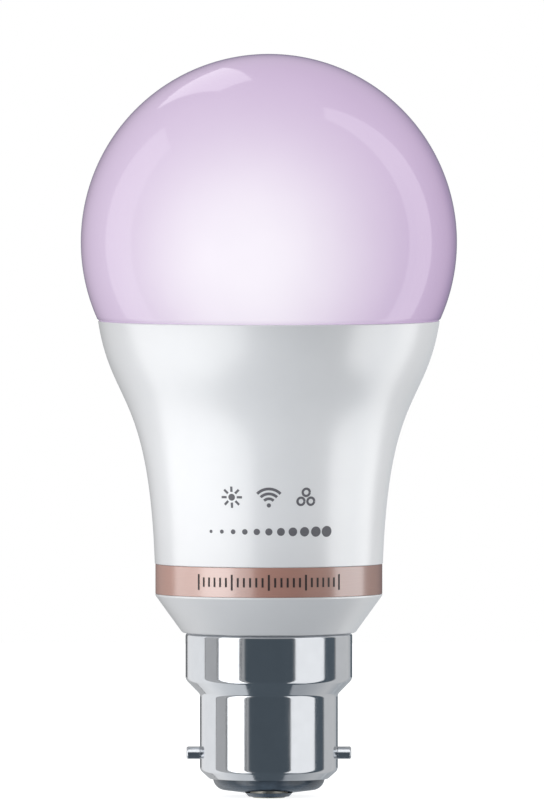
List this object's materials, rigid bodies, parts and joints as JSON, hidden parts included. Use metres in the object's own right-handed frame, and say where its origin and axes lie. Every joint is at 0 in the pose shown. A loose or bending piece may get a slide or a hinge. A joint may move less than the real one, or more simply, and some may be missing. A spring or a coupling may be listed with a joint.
{
  "type": "smart light bulb",
  "caption": "Round opal LED lamp with a flared white housing, a rose accent band and a two-contact bayonet cap on a stepped skirt.",
  "frame": {"origin": "on the lamp's axis, at the height of the two bayonet pins", "axes": "+Z from the cap to the globe, +X along the right-hand bayonet pin, the two contacts lie along Y"},
  "size_m": [0.06, 0.06, 0.1184],
  "materials": {
    "opal_globe": "opal polycarbonate, glossy outside, glowing lilac from the light sources inside",
    "clear_sealant": "cured silicone",
    "white_housing": "satin moulded plastic with a fine grain",
    "rose_band": "thin rose-gold metallised film, satin",
    "cap_cement": "cured cement",
    "nickel_cap": "nickel-plated drawn sheet, bright",
    "nickel_pin": "nickel-plated riveted pin",
    "dark_insulator": "moulded black insulator, glossy",
    "contact_brass": "stamped contact plate",
    "contact_solder": "tin solder",
    "spreader_aluminium": "spun and pressed sheet",
    "thermal_pad": "soft filled silicone",
    "led_board": "aluminium core with white solder mask",
    "cool_phosphor": "pale yellow phosphor in a white package",
    "warm_phosphor": "amber phosphor in a white package",
    "colour_led": "clear resin in a white package",
    "screw_steel": "zinc-plated cross-head screw",
    "white_nylon": "moulded nylon",
    "black_nylon": "moulded nylon",
    "gold_pin": "gold-flashed pin",
    "radio_board": "dark solder mask on glass-fibre laminate",
    "shield_tin": "tinned pressed can",
    "antenna_copper": "gold-flashed copper track",
    "driver_board": "green solder mask on glass-fibre laminate",
    "ferrite": "ground ferrite",
    "black_bobbin": "moulded phenolic",
    "coil_tape": "wound polyester tape",
    "coil_copper": "enamelled copper wire",
    "capacitor_sleeve": "shrunk sleeve on an aluminium can",
    "film_capacitor": "dipped resin case",
    "varistor": "dipped resin disc",
    "resistor": "flameproof lacquer",
    "chip_epoxy": "moulded epoxy",
    "chip_ceramic": "ceramic chip parts with tinned ends",
    "tinned_lead": "tinned wire",
    "red_sleeve": "silicone wire sleeve",
    "black_sleeve": "silicone wire sleeve",
    "wire_copper": "tinned copper strands"
  },
  "bodies": {
    "root": {"diffuser_globe": "opal_globe", "globe_sealant": "clear_sealant", "housing": "white_housing", "accent_band": "rose_band", "cap_cement": "cap_cement", "cap_shell": "nickel_cap", "cap_insulator": "dark_insulator", "contact_front": "contact_brass", "contact_rear": "contact_brass", "contact_solder": "contact_solder", "bayonet_pin_left": "nickel_pin", "bayonet_pin_right": "nickel_pin", "heat_spreader": "spreader_aluminium", "thermal_pad": "thermal_pad", "led_board": "led_board", "cool_white_leds": "cool_phosphor", "warm_white_leds": "warm_phosphor", "colour_leds": "colour_led", "board_screws": "screw_steel", "board_connector": "white_nylon", "connector_header": "black_nylon", "connector_pins": "gold_pin", "radio_board": "radio_board", "radio_shield": "shield_tin", "radio_antenna": "antenna_copper", "radio_header": "black_nylon", "radio_pins": "gold_pin", "driver_board": "driver_board", "transformer_core": "ferrite", "transformer_bobbin": "black_bobbin", "transformer_winding": "coil_tape", "input_capacitor": "capacitor_sleeve", "output_capacitor": "capacitor_sleeve", "film_capacitor": "film_capacitor", "filter_inductor_core": "ferrite", "filter_inductor_winding": "coil_copper", "varistor": "varistor", "fusible_resistor": "resistor", "bridge_rectifier": "chip_epoxy", "driver_chips": "chip_epoxy", "small_components": "chip_ceramic", "component_leads": "tinned_lead", "solder_joints": "contact_solder", "supply_wire_front": "red_sleeve", "supply_wire_rear": "black_sleeve", "supply_wire_cores": "wire_copper"}
  },
  "joints": []
}
